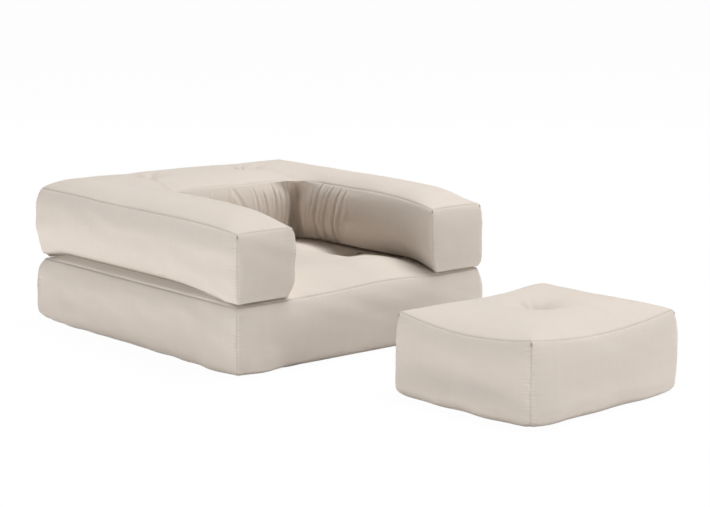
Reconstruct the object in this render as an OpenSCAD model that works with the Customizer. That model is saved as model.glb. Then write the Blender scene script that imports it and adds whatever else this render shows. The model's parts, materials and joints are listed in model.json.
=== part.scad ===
// Chair bed made of three stuffed blocks: a base mattress, a U-shaped back and arm block that lies
// on it and folds over to the rear, and a loose pouf. Every block is a boxed cover of sewn panels
// round a foam core and wadding, drawn in by thread tufts. -Y is the front, +Z is up, and left and
// right are as seen from the front, with +X to the right. The origin lies on the floor under the
// base's middle.

/* [Chair] */
// Width of the base and of the folding block, seam to seam
chair_w = 940; // [800:10:1100]
// Depth of the base and of the folding block, seam to seam
chair_d = 1040; // [900:10:1200]
// Height of the base's top seam above the floor
base_h = 203; // [160:1:260]
// Height of the folding block between its bottom and top seams, at the arm fronts
fold_h = 206; // [160:1:260]
// Width of each arm
arm_w = 196; // [150:1:240]
// Depth of the back
back_d = 373; // [280:1:440]
// Radius of the two inner corners between back and arms
inner_r = 135; // [80:1:180]

/* [Pouf] */
// Width of the pouf
pouf_w = 578; // [420:1:700]
// Depth of the pouf
pouf_d = 488; // [400:1:600]
// Height of the pouf's top corners
pouf_h = 234; // [180:1:300]
// Sideways place of the pouf's middle
pouf_x = 54; // [-200:1:200]
// Distance from the chair's middle forward to the pouf's middle
pouf_reach = 1190; // [1150:5:1600]
// Turn of the pouf about its middle, in degrees
pouf_turn = 2.5; // [-4:0.5:4]

/* [Stuffing] */
// Outward bulge of the chair's bands
chair_bulge = 18; // [4:1:24]
// Outward bulge of the pouf's bands
pouf_bulge = 9; // [2:1:20]
// Rise of the base's top above its seams
base_crown = 36; // [20:1:44]
// Rise of the folding block's top above its seams
fold_crown = 34; // [16:1:44]
// Rise of the pouf's top above its seams
pouf_crown = 46; // [30:1:60]
// Sag of the pouf's top seam between its corners
pouf_sag = 24; // [8:1:30]
// Distance from a seam over which a stuffed face swells
soft_edge = 120; // [60:1:130]
// Distance from a bottom seam over which a base rolls up from the floor
toe_edge = 30; // [20:1:45]
// Height of the bottom seams above the floor
toe_lift = 8; // [4:1:14]
// Lift of the folding block's outer top seam behind the arm fronts
outer_rise = 12; // [0:1:20]
// Lift of the folding block's inner top seam behind the arm fronts
inner_rise = 24; // [0:1:30]
// Stretch behind the arm fronts over which those seams rise
rise_run = 300; // [150:10:600]
// Height of the slit between the two blocks' seams at the corners
seam_gap = 6.5; // [4:0.5:10]

/* [Tufts] */
// Distance of the base's tufts from its middle, sideways
base_tuft_x = 265; // [200:5:300]
// Distance of the base's tufts from its middle, front to back
base_tuft_y = 180; // [150:5:300]
// Depth of a dimple on top
tuft_pull = 34; // [10:1:40]
// Depth of a dimple underneath
under_pull = 8; // [6:0.5:10]
// Distance over which a dimple of the base spreads
base_tuft_reach = 150; // [100:5:170]
// Distance over which a dimple of the folding block or the pouf spreads
tuft_reach = 110; // [80:5:140]
// Radius of a thread pad
pad_r = 7; // [4:0.5:10]
// Thickness of a thread pad
pad_t = 2.5; // [1:0.5:3]
// Radius of a tuft's cord
cord_r = 1.5; // [1:0.1:2.5]

/* [Layers] */
// Thickness of the cover cloth
cloth_t = 1; // [0.8:0.1:1.6]
// Thinnest wadding at a seam
wadding_t = 14; // [12:1:24]
// Clearance between one layer and the next
layer_gap = 0.3; // [0.2:0.05:0.5]
// Clearance between the base and the block that lies on it
rest_gap = 0.4; // [0.3:0.05:1]
// Distance of the hinge flap's ends from the sides
flap_inset = 12; // [8:1:60]
// Thickness of the hinge flap
flap_t = 0.8; // [0.6:0.1:1.5]

/* [Hidden] */

cloth_colour = [0.84, 0.80, 0.75];
lining_colour = [0.75, 0.71, 0.66];
foam_colour = [0.95, 0.90, 0.72];
wadding_colour = [0.93, 0.92, 0.88];
thread_colour = [0.66, 0.60, 0.53];

// Heights of a band's cross lines, from its bottom seam to its top seam, and its bulge there
level_shares = [0, 0.22, 0.78, 1];
bulge_shares = [0, 1, 1, 0];
top_level = len(level_shares) - 1;
// How steeply the arms and back round over: 2 is a parabola, more is flatter on top
crown_power = 2.5;
// Angle of an inner corner's middle, from either end of its arc
mid_corner = 45;

half_w = chair_w / 2;
half_d = chair_d / 2;
seat_half_w = half_w - arm_w;
back_y = half_d - back_d;
stuff_inset = cloth_t + layer_gap;
hole_r = cord_r + layer_gap;

// A cushion's values, in this order: width, depth, top seam height, sag of that seam, crown,
// bulge, its tufts' distances from the middle, and the reach of their dimples
base_spec = [
  chair_w, chair_d, base_h, 0, base_crown, chair_bulge, base_tuft_x, base_tuft_y, base_tuft_reach
];
pouf_spec = [pouf_w, pouf_d, pouf_h, pouf_sag, pouf_crown, pouf_bulge, 0, 0, tuft_reach];

// Swell of a stuffed face at distance d from its seam, as a share of its crown
function swell(d, run) = 1 - pow(1 - min(d / run, 1), 2);
// A bow that is 0 at both ends and 1 halfway, for t from 0 to 1
function bow(t) = 4 * t * (1 - t);
// A value between a and b
function between(a, b, t) = a + (b - a) * t;
// Depth of the nearest tuft's dimple, as a share of its pull
function dimple(x, y, tufts, reach) =
  max([for (tuft = tufts) pow(max(0, 1 - norm([x, y] - tuft) / reach), 2)]);
// Which side of a run of lines an index lies on: -1, 0 or 1
function side_of(index, last) = index == 0 ? -1 : index == last ? 1 : 0;

// Places of the grid lines across a cushion: at its seams, its toe, its crown and its tufts
function half_lines(size, tuft) =
  let (flat_part = size / 2 - soft_edge, outer = [size / 2, size / 2 - toe_edge, flat_part])
  tuft > 0 ? concat(outer, [(flat_part + tuft) / 2, tuft, tuft / 2]) : concat(outer, [flat_part / 2]);
function lines(size, tuft) =
  let (half = half_lines(size, tuft), count = len(half))
  concat([for (value = half) -value], [0], [for (i = [count - 1:-1:0]) half[i]]);

function cushion_tufts(spec) =
  spec[6] > 0
  ? [for (x = [-spec[6], spec[6]]) for (y = [-spec[7], spec[7]]) [x, y]]
  : [[0, 0]];

// Height of a cushion's top cloth: the sagging seam, the crown and the dimples
function cushion_top(spec, x, y) =
  let (
    sag = 1 - (1 - bow(x / spec[0] + 0.5)) * (1 - bow(y / spec[1] + 0.5)),
    crown = swell(spec[0] / 2 - abs(x), soft_edge) * swell(spec[1] / 2 - abs(y), soft_edge)
  )
  spec[2] - spec[3] * sag + spec[4] * crown - tuft_pull * dimple(x, y, cushion_tufts(spec), spec[8]);

// Height of a cushion's underside: flat on the floor, rolled up to the seam, lifted by the tufts
function cushion_bottom(spec, x, y) =
  let (roll = swell(spec[0] / 2 - abs(x), toe_edge) * swell(spec[1] / 2 - abs(y), toe_edge))
  toe_lift * (1 - roll) + under_pull * dimple(x, y, cushion_tufts(spec), tuft_reach);

// A point of a cushion's cover, or of a layer that lies inset under it
function cushion_point(spec, xs, ys, i, j, k, inset) =
  let (
    out = [side_of(i, len(xs) - 1), side_of(j, len(ys) - 1), side_of(k, top_level)],
    puff = spec[5] * bulge_shares[k],
    low = cushion_bottom(spec, xs[i], ys[j]),
    high = cushion_top(spec, xs[i], ys[j])
  )
  [xs[i] + out[0] * puff, ys[j] + out[1] * puff, between(low, high, level_shares[k])] - inset * out;

// One face of a cushion as rows of points
function cushion_grid(spec, face, inset) =
  let (
    xs = lines(spec[0], spec[6]),
    ys = lines(spec[1], spec[7]),
    across = [0:len(xs) - 1],
    along = [0:len(ys) - 1],
    up = [0:top_level]
  )
  let (
    k_flat = face == "top" ? top_level : 0,
    i_side = face == "right" ? len(xs) - 1 : 0,
    j_end = face == "rear" ? len(ys) - 1 : 0
  )
  face == "top" || face == "bottom"
  ? [for (i = across) [for (j = along) cushion_point(spec, xs, ys, i, j, k_flat, inset)]]
  : face == "left" || face == "right"
  ? [for (j = along) [for (k = up) cushion_point(spec, xs, ys, i_side, j, k, inset)]]
  : [for (i = across) [for (k = up) cushion_point(spec, xs, ys, i, j_end, k, inset)]];

// The folding block's grid runs along the U, from the left arm's front round the back to the right
// arm's front, and across it, from the seat to the outside.
across_lines = [
  0, toe_edge / back_d, soft_edge / back_d, 0.5, 1 - soft_edge / back_d, 1 - toe_edge / back_d, 1
];
arm_start = -half_d + soft_edge;
arm_run_share = 1 - inner_r / (back_y - arm_start);
arm_shares = [
  0, arm_run_share / 3, 2 * arm_run_share / 3, arm_run_share, (1 + arm_run_share) / 2, 1
];
function arm_ys(corner_y) = concat(
  [-half_d, -half_d + toe_edge], [for (share = arm_shares) between(arm_start, corner_y, share)]
);
straight_half = seat_half_w - inner_r;
back_xs = [
  -straight_half - inner_r / 2, -straight_half, -straight_half / 2, 0,
  straight_half / 2, straight_half, straight_half + inner_r / 2
];
arm_last = len(arm_shares) + 1;
fold_last = 2 * arm_last + len(back_xs) + 1;

function mirrored(path) = [for (i = [len(path) - 1:-1:0]) [-path[i][0], path[i][1]]];
function fold_path(half, corner_y) =
  let (arm = [for (y = arm_ys(corner_y)) [-half, y]])
  concat(arm, [for (x = back_xs) [x * half / seat_half_w, corner_y]], mirrored(arm));
inner_path = fold_path(seat_half_w, back_y);
outer_path = fold_path(half_w, half_d);

// Angle of the inner corner's arc at a path point: 0 where it leaves the arm, 90 on the back
function corner_angle(point) =
  let (from_arm = back_y - point[1], from_back = seat_half_w - abs(point[0]))
  from_arm > 0 ? mid_corner * max(0, 1 - from_arm / inner_r)
  : mid_corner + mid_corner * min(1, from_back / inner_r);
function toward_seat(point, e) = [point[0] < 0 ? e[0] : -e[0], -e[1]];
// Shift that rounds the inner corner, zero away from it
function corner_shift(point) =
  let (
    a = corner_angle(point),
    arc = inner_r * [1 - cos(a), 1 - sin(a)],
    place = [seat_half_w - abs(point[0]), back_y - point[1]]
  )
  max(place) >= inner_r ? [0, 0] : toward_seat(point, arc - place);
function seat_normal(point) =
  let (a = corner_angle(point))
  point[0] == 0 ? [0, -1] : toward_seat(point, [cos(a), sin(a)]);
function outside_normal(point) = [
  abs(point[0]) < half_w ? 0 : sign(point[0]), point[1] < half_d ? 0 : 1
];

// The tufts of the back stand on the grid, halfway across it
fold_tuft_x = straight_half * (1 + half_w / seat_half_w) / 2;
fold_tuft_y = (back_y + half_d) / 2;
fold_tufts_at = [[-fold_tuft_x, fold_tuft_y], [fold_tuft_x, fold_tuft_y]];

// Underside of the folding block: it lies on the base's crown and droops to its front and rear seams
function fold_bottom(place) =
  base_h + seam_gap + (base_crown + rest_gap - seam_gap) * swell(half_d - abs(place[1]), soft_edge)
  + under_pull * dimple(place[0], place[1], fold_tufts_at, tuft_reach);
function fold_seam(place, share) =
  base_h + seam_gap + fold_h
  + between(inner_rise, outer_rise, share) * swell(place[1] + half_d, rise_run);
function fold_top(place, share) =
  fold_seam(place, share)
  + fold_crown * (1 - pow(abs(2 * share - 1), crown_power)) * swell(place[1] + half_d, soft_edge)
  - tuft_pull * dimple(place[0], place[1], fold_tufts_at, tuft_reach);

function fold_point(s, v, k, inset) =
  let (
    share = across_lines[v],
    middle_share = max(0, 1 - 2 * share),
    place = between(inner_path[s], outer_path[s], share) + middle_share * corner_shift(inner_path[s]),
    across = v == 0 ? seat_normal(inner_path[s])
      : v == len(across_lines) - 1 ? outside_normal(outer_path[s]) : [0, 0],
    ends = s == 0 || s == fold_last ? [0, -1] : [0, 0],
    out = [across[0], across[1] + ends[1], side_of(k, top_level)],
    puff = chair_bulge * bulge_shares[k],
    height = between(fold_bottom(place), fold_top(place, share), level_shares[k])
  )
  [place[0] + out[0] * puff, place[1] + out[1] * puff, height] - inset * out;

// The folding block's faces as rows of points: a band, the top or the underside, and an arm's front
function fold_run(first, last, v, inset) = [
  for (s = [first:last]) [for (k = [0:top_level]) fold_point(s, v, k, inset)]
];
function fold_face(k, inset) = [
  for (s = [0:fold_last]) [for (v = [0:len(across_lines) - 1]) fold_point(s, v, k, inset)]
];
function fold_end(s, inset) = [
  for (v = [0:len(across_lines) - 1]) [for (k = [0:top_level]) fold_point(s, v, k, inset)]
];

function flattened(grid, z) = [for (row = grid) [for (p = row) [p[0], p[1], z]]];

// A closed solid between an outer grid of points and an inner one of the same size
module sheet(outer, inner) {
  rows = len(outer);
  cols = len(outer[0]);
  count = rows * cols;
  behind = [count, count, count];
  points = [for (grid = [outer, inner]) for (row = grid) for (p = row) p];
  cells = [
    for (i = [0:rows - 2]) for (j = [0:cols - 2])
      [i * cols + j, (i + 1) * cols + j, (i + 1) * cols + j + 1, i * cols + j + 1]
  ];
  rim = concat(
    [for (i = [0:rows - 2]) i * cols],
    [for (j = [0:cols - 2]) (rows - 1) * cols + j],
    [for (i = [rows - 1:-1:1]) i * cols + cols - 1],
    [for (j = [cols - 1:-1:1]) j]
  );
  faces = concat(
    [for (c = cells) each [[c[0], c[1], c[2]], [c[0], c[2], c[3]]]],
    [for (c = cells) each [[c[0], c[2], c[1]] + behind, [c[0], c[3], c[2]] + behind]],
    [
      for (n = [0:len(rim) - 1])
        let (p = rim[n], q = rim[(n + 1) % len(rim)])
        each [[q, p, p + count], [q, p + count, q + count]]
    ]
  );
  facing = cross(outer[1][0] - outer[0][0], outer[0][1] - outer[0][0]) * (outer[0][0] - inner[0][0]);
  polyhedron(points, facing > 0 ? [for (f = faces) [f[2], f[1], f[0]]] : faces);
}

// Cuts the holes that the tuft cords pass through
module pierced(tufts, height) {
  difference() {
    children();
    for (tuft = tufts) {
      translate([tuft[0], tuft[1], -height]) cylinder(h = 3 * height, r = hole_r, $fn = 24);
    }
  }
}

// A cord through a block, with a thread pad on each side
module tuft(place, low, high, reach) {
  top_seat = high + pad_r * 2 * tuft_pull / reach;
  bottom_seat = low - pad_r * 2 * under_pull / tuft_reach;
  translate([place[0], place[1], 0]) {
    translate([0, 0, bottom_seat - pad_t / 2]) {
      cylinder(h = top_seat - bottom_seat + pad_t, r = cord_r, $fn = 24);
    }
    translate([0, 0, top_seat]) cylinder(h = pad_t, r = pad_r, $fn = 32);
    translate([0, 0, bottom_seat - pad_t]) cylinder(h = pad_t, r = pad_r, $fn = 32);
  }
}

// Cushions with four bands, used for the base and the pouf

module cushion_panel(spec, face) {
  sheet(cushion_grid(spec, face, 0), cushion_grid(spec, face, cloth_t));
}

module cushion_pierced(spec) {
  pierced(cushion_tufts(spec), spec[2]) children();
}

function upper_foam_z(spec) = spec[2] - spec[3] - stuff_inset - wadding_t;
function lower_foam_z() = toe_lift + under_pull + stuff_inset + wadding_t;

module cushion_upper_wadding(spec) {
  cloth = cushion_grid(spec, "top", stuff_inset);
  cushion_pierced(spec) sheet(cloth, flattened(cloth, upper_foam_z(spec) + layer_gap));
}

module cushion_lower_wadding(spec) {
  cloth = cushion_grid(spec, "bottom", stuff_inset);
  cushion_pierced(spec) sheet(cloth, flattened(cloth, lower_foam_z() - layer_gap));
}

module cushion_foam(spec) {
  size = [spec[0] - 2 * stuff_inset, spec[1] - 2 * stuff_inset, upper_foam_z(spec) - lower_foam_z()];
  cushion_pierced(spec) translate([-size[0] / 2, -size[1] / 2, lower_foam_z()]) cube(size);
}

module cushion_tuft_set(spec) {
  for (place = cushion_tufts(spec)) {
    low = cushion_bottom(spec, place[0], place[1]);
    tuft(place, low, cushion_top(spec, place[0], place[1]), spec[8]);
  }
}

// Base mattress

module base_top_panel() {
  color(cloth_colour) cushion_pierced(base_spec) cushion_panel(base_spec, "top");
}

module base_bottom_panel() {
  color(lining_colour) cushion_pierced(base_spec) cushion_panel(base_spec, "bottom");
}

module base_front_band() color(cloth_colour) cushion_panel(base_spec, "front");
module base_rear_band() color(cloth_colour) cushion_panel(base_spec, "rear");
module base_left_band() color(cloth_colour) cushion_panel(base_spec, "left");
module base_right_band() color(cloth_colour) cushion_panel(base_spec, "right");
module base_upper_wadding() color(wadding_colour) cushion_upper_wadding(base_spec);
module base_foam_core() color(foam_colour) cushion_foam(base_spec);
module base_lower_wadding() color(wadding_colour) cushion_lower_wadding(base_spec);
module base_tufts() color(thread_colour) cushion_tuft_set(base_spec);

// Hinge flap: two leaves that meet on the fold line behind the rear seams. The line is as high as
// lets the block's crown lie on the floor when it is folded over.

fold_crest_z = base_h + seam_gap + fold_h + (inner_rise + outer_rise) / 2 + fold_crown;
fold_line = [half_d + chair_bulge + cloth_t, fold_crest_z / 2];
base_seam_end = [half_d, base_h];
fold_seam_end = [half_d, base_h + seam_gap];

// A flat strip from a seam to the fold line, on the side of that line that turn names
module flap_leaf(seam_end, start, turn) {
  run = fold_line - seam_end;
  along = run / norm(run);
  across = turn * [along[1], -along[0]];
  near = seam_end + along * start + across * layer_gap / 2;
  far = fold_line - along * layer_gap / 2 + across * layer_gap / 2;
  translate([-half_w + flap_inset, 0, 0]) rotate([90, 0, 90]) {
    linear_extrude(chair_w - 2 * flap_inset) {
      polygon([near, far, far + across * flap_t, near + across * flap_t]);
    }
  }
}

// The upper leaf starts where it clears the rear band, which leans out from the same seam
upper_run = fold_line - fold_seam_end;
band_run = [chair_bulge, fold_h * level_shares[1]];
leaf_spread = atan2(band_run[1], band_run[0]) - atan2(upper_run[1], upper_run[0]);
upper_start = (flap_t + 2 * layer_gap) / sin(leaf_spread);

module hinge_flap_lower_leaf() color(cloth_colour) flap_leaf(base_seam_end, layer_gap, 1);
module hinge_flap_upper_leaf() color(cloth_colour) flap_leaf(fold_seam_end, upper_start, -1);

// Folding block with the back and the arms

fold_upper_foam_z = base_h + seam_gap + fold_h - stuff_inset - wadding_t;
fold_lower_foam_z = base_h + base_crown + rest_gap + under_pull + stuff_inset + wadding_t;
back_first = arm_last;
back_last = fold_last - arm_last;
outside_line = len(across_lines) - 1;

module fold_strip(first, last, v) {
  sheet(fold_run(first, last, v, 0), fold_run(first, last, v, cloth_t));
}

module fold_pierced() {
  pierced(fold_tufts_at, base_h + fold_h) children();
}

module fold_foam(x0, x1, y0, y1) {
  translate([x0, y0, fold_lower_foam_z]) {
    cube([x1 - x0, y1 - y0, fold_upper_foam_z - fold_lower_foam_z]);
  }
}

module fold_top_panel() {
  color(cloth_colour) fold_pierced() sheet(fold_face(top_level, 0), fold_face(top_level, cloth_t));
}

module fold_bottom_panel() {
  color(lining_colour) fold_pierced() sheet(fold_face(0, 0), fold_face(0, cloth_t));
}

module fold_inner_band() color(cloth_colour) fold_strip(0, fold_last, 0);
module fold_left_band() color(cloth_colour) fold_strip(0, back_first, outside_line);
module fold_rear_band() color(cloth_colour) fold_strip(back_first, back_last, outside_line);
module fold_right_band() color(cloth_colour) fold_strip(back_last, fold_last, outside_line);
module left_arm_front() color(cloth_colour) sheet(fold_end(0, 0), fold_end(0, cloth_t));
module right_arm_front() color(cloth_colour) sheet(fold_end(fold_last, 0), fold_end(fold_last, cloth_t));

module fold_upper_wadding() {
  cloth = fold_face(top_level, stuff_inset);
  color(wadding_colour) fold_pierced() sheet(cloth, flattened(cloth, fold_upper_foam_z + layer_gap));
}

module fold_lower_wadding() {
  cloth = fold_face(0, stuff_inset);
  color(wadding_colour) fold_pierced() sheet(cloth, flattened(cloth, fold_lower_foam_z - layer_gap));
}

module back_foam_core() {
  color(foam_colour) fold_pierced() {
    fold_foam(-half_w + stuff_inset, half_w - stuff_inset, back_y + stuff_inset, half_d - stuff_inset);
  }
}

module arm_foam_core() {
  color(foam_colour) {
    fold_foam(
      -half_w + stuff_inset, -seat_half_w - stuff_inset,
      -half_d + stuff_inset, back_y + stuff_inset - layer_gap
    );
  }
}

module left_arm_foam_core() arm_foam_core();
module right_arm_foam_core() mirror([1, 0, 0]) arm_foam_core();

module fold_tufts() {
  color(thread_colour) {
    for (place = fold_tufts_at) tuft(place, fold_bottom(place), fold_top(place, 0.5), tuft_reach);
  }
}

// Pouf

module at_pouf() {
  translate([pouf_x, -pouf_reach, 0]) rotate(pouf_turn) children();
}

module pouf_top_panel() {
  color(cloth_colour) at_pouf() cushion_pierced(pouf_spec) cushion_panel(pouf_spec, "top");
}

module pouf_bottom_panel() {
  color(lining_colour) at_pouf() cushion_pierced(pouf_spec) cushion_panel(pouf_spec, "bottom");
}

module pouf_front_band() color(cloth_colour) at_pouf() cushion_panel(pouf_spec, "front");
module pouf_rear_band() color(cloth_colour) at_pouf() cushion_panel(pouf_spec, "rear");
module pouf_left_band() color(cloth_colour) at_pouf() cushion_panel(pouf_spec, "left");
module pouf_right_band() color(cloth_colour) at_pouf() cushion_panel(pouf_spec, "right");
module pouf_upper_wadding() color(wadding_colour) at_pouf() cushion_upper_wadding(pouf_spec);
module pouf_foam_core() color(foam_colour) at_pouf() cushion_foam(pouf_spec);
module pouf_lower_wadding() color(wadding_colour) at_pouf() cushion_lower_wadding(pouf_spec);
module pouf_tuft() color(thread_colour) at_pouf() cushion_tuft_set(pouf_spec);

base_top_panel();
base_bottom_panel();
base_front_band();
base_rear_band();
base_left_band();
base_right_band();
base_upper_wadding();
base_foam_core();
base_lower_wadding();
base_tufts();
hinge_flap_lower_leaf();
fold_top_panel();
fold_bottom_panel();
fold_inner_band();
fold_left_band();
fold_right_band();
fold_rear_band();
left_arm_front();
right_arm_front();
fold_upper_wadding();
fold_lower_wadding();
back_foam_core();
left_arm_foam_core();
right_arm_foam_core();
fold_tufts();
hinge_flap_upper_leaf();
pouf_top_panel();
pouf_bottom_panel();
pouf_front_band();
pouf_rear_band();
pouf_left_band();
pouf_right_band();
pouf_upper_wadding();
pouf_foam_core();
pouf_lower_wadding();
pouf_tuft();
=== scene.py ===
"""Looks of the chair bed: three stuffed cotton blocks, their tufts, seams and hinge flap.

Every cover is the skin of a bent lattice. Its forms are worked out from the sizes of the CAD, blown
up by a short cloth simulation, and then given their seams, puckers and folds. Lengths are metres.
"""

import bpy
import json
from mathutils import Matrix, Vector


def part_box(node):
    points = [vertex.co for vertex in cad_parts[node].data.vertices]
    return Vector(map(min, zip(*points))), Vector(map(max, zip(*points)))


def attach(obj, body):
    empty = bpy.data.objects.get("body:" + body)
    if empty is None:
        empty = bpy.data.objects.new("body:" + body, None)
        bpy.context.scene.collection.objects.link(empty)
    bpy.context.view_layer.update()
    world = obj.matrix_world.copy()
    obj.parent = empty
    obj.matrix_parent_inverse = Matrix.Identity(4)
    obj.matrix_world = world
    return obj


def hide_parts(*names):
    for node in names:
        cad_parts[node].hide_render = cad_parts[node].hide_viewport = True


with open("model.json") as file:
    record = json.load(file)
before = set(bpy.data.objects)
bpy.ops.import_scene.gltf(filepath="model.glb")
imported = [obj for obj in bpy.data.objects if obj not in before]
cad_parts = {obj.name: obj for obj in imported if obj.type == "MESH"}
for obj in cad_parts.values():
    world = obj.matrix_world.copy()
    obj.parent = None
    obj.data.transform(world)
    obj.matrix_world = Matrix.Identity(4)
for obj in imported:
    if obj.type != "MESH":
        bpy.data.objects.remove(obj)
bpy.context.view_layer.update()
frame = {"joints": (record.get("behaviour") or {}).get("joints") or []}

import json
import math

import bpy
import numpy as np


def tenths(*values):
    """Lengths from the frame, to a tenth of a millimetre."""
    return [round(float(value), 4) for value in values]


# Sizes that the frame gives, between the seams. The bands and pads stand past them by a cloth or a pad.
CLOTH_T, PAD_R = 0.001, 0.007
HALF_W, HALF_D = tenths(*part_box("base_top_panel")[1][:2])
seat_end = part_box("fold_inner_band")[1]
ARM_W, BACK_D = tenths(HALF_W - seat_end[0] + CLOTH_T, HALF_D - seat_end[1] + CLOTH_T)
SEAT_HALF_W, BACK_Y = HALF_W - ARM_W, HALF_D - BACK_D
BASE_H, POUF_H = tenths(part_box("base_front_band")[1][2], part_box("pouf_front_band")[1][2])
arm_low, arm_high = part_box("left_arm_front")
SEAM_GAP, FOLD_H = tenths(arm_low[2] - BASE_H, arm_high[2] - arm_low[2])
FOLD_LINE = tuple(frame["joints"][0]["pos_m"][1:])

tuft_low, tuft_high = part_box("pouf_tuft")
POUF_AT = tuple(tenths(*((tuft_low + tuft_high) / 2)[:2]))
back_x, back_y = tenths(*(np.array(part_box("fold_tufts")[1])[:2] - PAD_R))
seat_x, seat_y = tenths(*(np.array(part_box("base_tufts")[1])[:2] - PAD_R))
BACK_TUFTS = [(-back_x, back_y), (back_x, back_y)]
SEAT_TUFTS = [(side * seat_x, end * seat_y) for end in (-1, 1) for side in (-1, 1)]

# Sizes of the CAD that its boxes don't give
INNER_R, REST_Z = 0.135, 0.2394
POUF_W, POUF_D, POUF_SAG, POUF_CROWN = 0.578, 0.488, 0.024, 0.046
POUF_TURN = math.radians(2.5)
SOFT_EDGE, FRONT_EDGE = 0.120, 0.150
TUFT_PULL, UNDER_PULL, UNDER_REACH = 0.034, 0.008, 0.110

# Finer things that only the looks have
CHAIR_PUFF, POUF_PUFF = 0.0195, 0.0125
GROOVE_DEPTH, GROOVE_WIDTH = 0.0032, 0.0028
TOE_LIFT, TOE_IN, TOE_RISE, TOE_EDGE = 0.001, 0.007, 0.026, 0.030
SEAT_PULL, SEAT_REACH, PIT_SHARE, PIT_R = 0.026, 0.142, 0.3, 0.016
POUF_PULL, POUF_REACH, POUF_REAR_SHARE = 0.043, 0.052, 0.55
TUFT_CLEAR = 0.022
CORNER_R = 0.050
BASE_AT_X, FOLD_AT_X, FOLD_SKEW = -0.005, -0.007, -0.012
ON_EDGE = 1e-9
FAR = 9.0


# Forms shared by all the blocks

def swell(distance, run):
    """Rise of a stuffed face: 0 at its seam, 1 from run away, as one less the square of what is left."""
    return 1 - (1 - np.clip(distance / run, 0, 1)) ** 2


def eased(t):
    """A step from 0 to 1 with level ends: three times the square less twice the cube."""
    t = np.clip(t, 0, 1)
    return t * t * (3 - 2 * t)


def bow(t):
    """A bow that is 0 at both ends of 0 to 1 and 1 halfway: four times the share and what is left of it."""
    return 4 * t * (1 - t)


def between(a, b, t):
    """A value between a and b."""
    return a + (b - a) * t


def bell(x, width):
    """A bell curve, 1 in the middle: e to the power of minus the square of x over the width."""
    return np.exp(-((x / width) ** 2))


def puff(share, low=9.0, high=3.6):
    """Bulge of a band over its height: 1 less the distance from mid-height to a power, tighter at the edge
    for a higher one."""
    return 1 - np.abs(2 * share - 1) ** np.where(share < 0.5, low, high)


def toe(height):
    """How far a band's foot is rolled in at a height above the floor: a quarter of an ellipse."""
    left = np.clip(1 - height / TOE_RISE, 0, 1)
    return TOE_IN * (1 - np.sqrt(1 - left * left))


def belly(height):
    """Share of a band's sag at a height: a bell round 30 mm that keeps most of itself down to the floor."""
    fullest, fade, lost = 0.030, 0.045, 0.25
    return bell(np.maximum(height - fullest, 0), fade) * (1 - lost * np.clip(1 - height / fullest, 0, 1) ** 2)


def from_corner(x, y):
    """Distance to the chair's nearest upright corner."""
    return np.hypot(HALF_W - np.abs(x), HALF_D - np.abs(y))


def corner_ease(x, y, front=-0.5, rear=0.13):
    """Share of its bulge that a band keeps at the chair's upright corners: less at the front, a little over
    at the rear."""
    return 1 + np.where(y < 0, front, rear) * bell(from_corner(x, y), 0.05)


def under_edge(from_side, from_end):
    """Height of an underside's rolled edge: up to the seams by TOE_LIFT."""
    return TOE_LIFT * (1 - swell(from_side, TOE_EDGE) * swell(from_end, TOE_EDGE))


def ripple(x, y, length, seed):
    """Soft unevenness of about one wavelength: twice the mean of seven seeded sine waves across x and y."""
    rng = np.random.default_rng(seed)
    total = 0
    spans = (0, np.pi), (0, 2 * np.pi), (0.7, 1.5)
    for turn, phase, stretch in zip(*(rng.uniform(*span, 7) for span in spans)):
        wave = 2 * np.pi / (length * stretch)
        total = total + np.sin(wave * (x * np.cos(turn) + y * np.sin(turn)) + phase)
    return total / 3.5


def round_tufts(x, y, tufts):
    """For each tuft, its number, the distance from it and the direction."""
    return [(n, np.hypot(x - tx, y - ty), np.arctan2(y - ty, x - tx)) for n, (tx, ty) in enumerate(tufts)]


def crater(x, y, tufts, reach, seed=0):
    """Depth of the nearest tuft's dimple: the square of what is left of its reach, which wavers round it."""
    deepest = 0 * x
    for n, away, turn in round_tufts(x, y, tufts):
        waver = 1 + 0.10 * np.sin(3 * turn + n + seed) + 0.05 * np.sin(7 * turn + 2 * n + seed)
        deepest = np.maximum(deepest, np.clip(1 - away / (reach * waver), 0, 1) ** 2)
    return deepest


def tuft_folds(x, y, tufts, seed=0):
    """Creases that leave each tuft, seven to a turn and uneven in length, and fade within a hand's width."""
    creases = 0 * x
    for n, away, turn in round_tufts(x, y, tufts):
        comb = (0.5 + 0.5 * np.cos(7 * turn + 1.6 * np.sin(2 * turn + 2 * n + seed))) ** 3
        reach = 0.055 + 0.020 * np.sin(2 * turn + n + seed)
        creases = creases + comb * eased(away / TUFT_CLEAR) * bell(away / reach - 0.6, 0.65)
    return creases


# Lattices

def places(length, step, edge=0.0016, growth=1.45):
    """Shares of a lattice's lines over a length: crowded at both ends, then no more than a step apart."""
    near = [0.0]
    gap = edge
    while gap < step and near[-1] + gap < length / 3:
        near.append(near[-1] + gap)
        gap *= growth
    middle = np.linspace(near[-1], length - near[-1], max(2, math.ceil((length - 2 * near[-1]) / step) + 1))
    line = np.concatenate([near[:-1], middle, length - np.array(near[:-1])[::-1]])
    return line / length


# Numbers of the level ones among a lattice's faces
UNDERSIDE, TOP = 4, 5


def corner_rings(grid, axis, end):
    """A face's grid as the four corners of each of its quads, turned so that the quads face outwards."""
    ring = [grid[:-1, :-1], grid[1:, :-1], grid[1:, 1:], grid[:-1, 1:]]
    outward = (end == -1) != (axis == 1)
    return np.stack(ring if outward else ring[::-1], 2)


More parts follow.
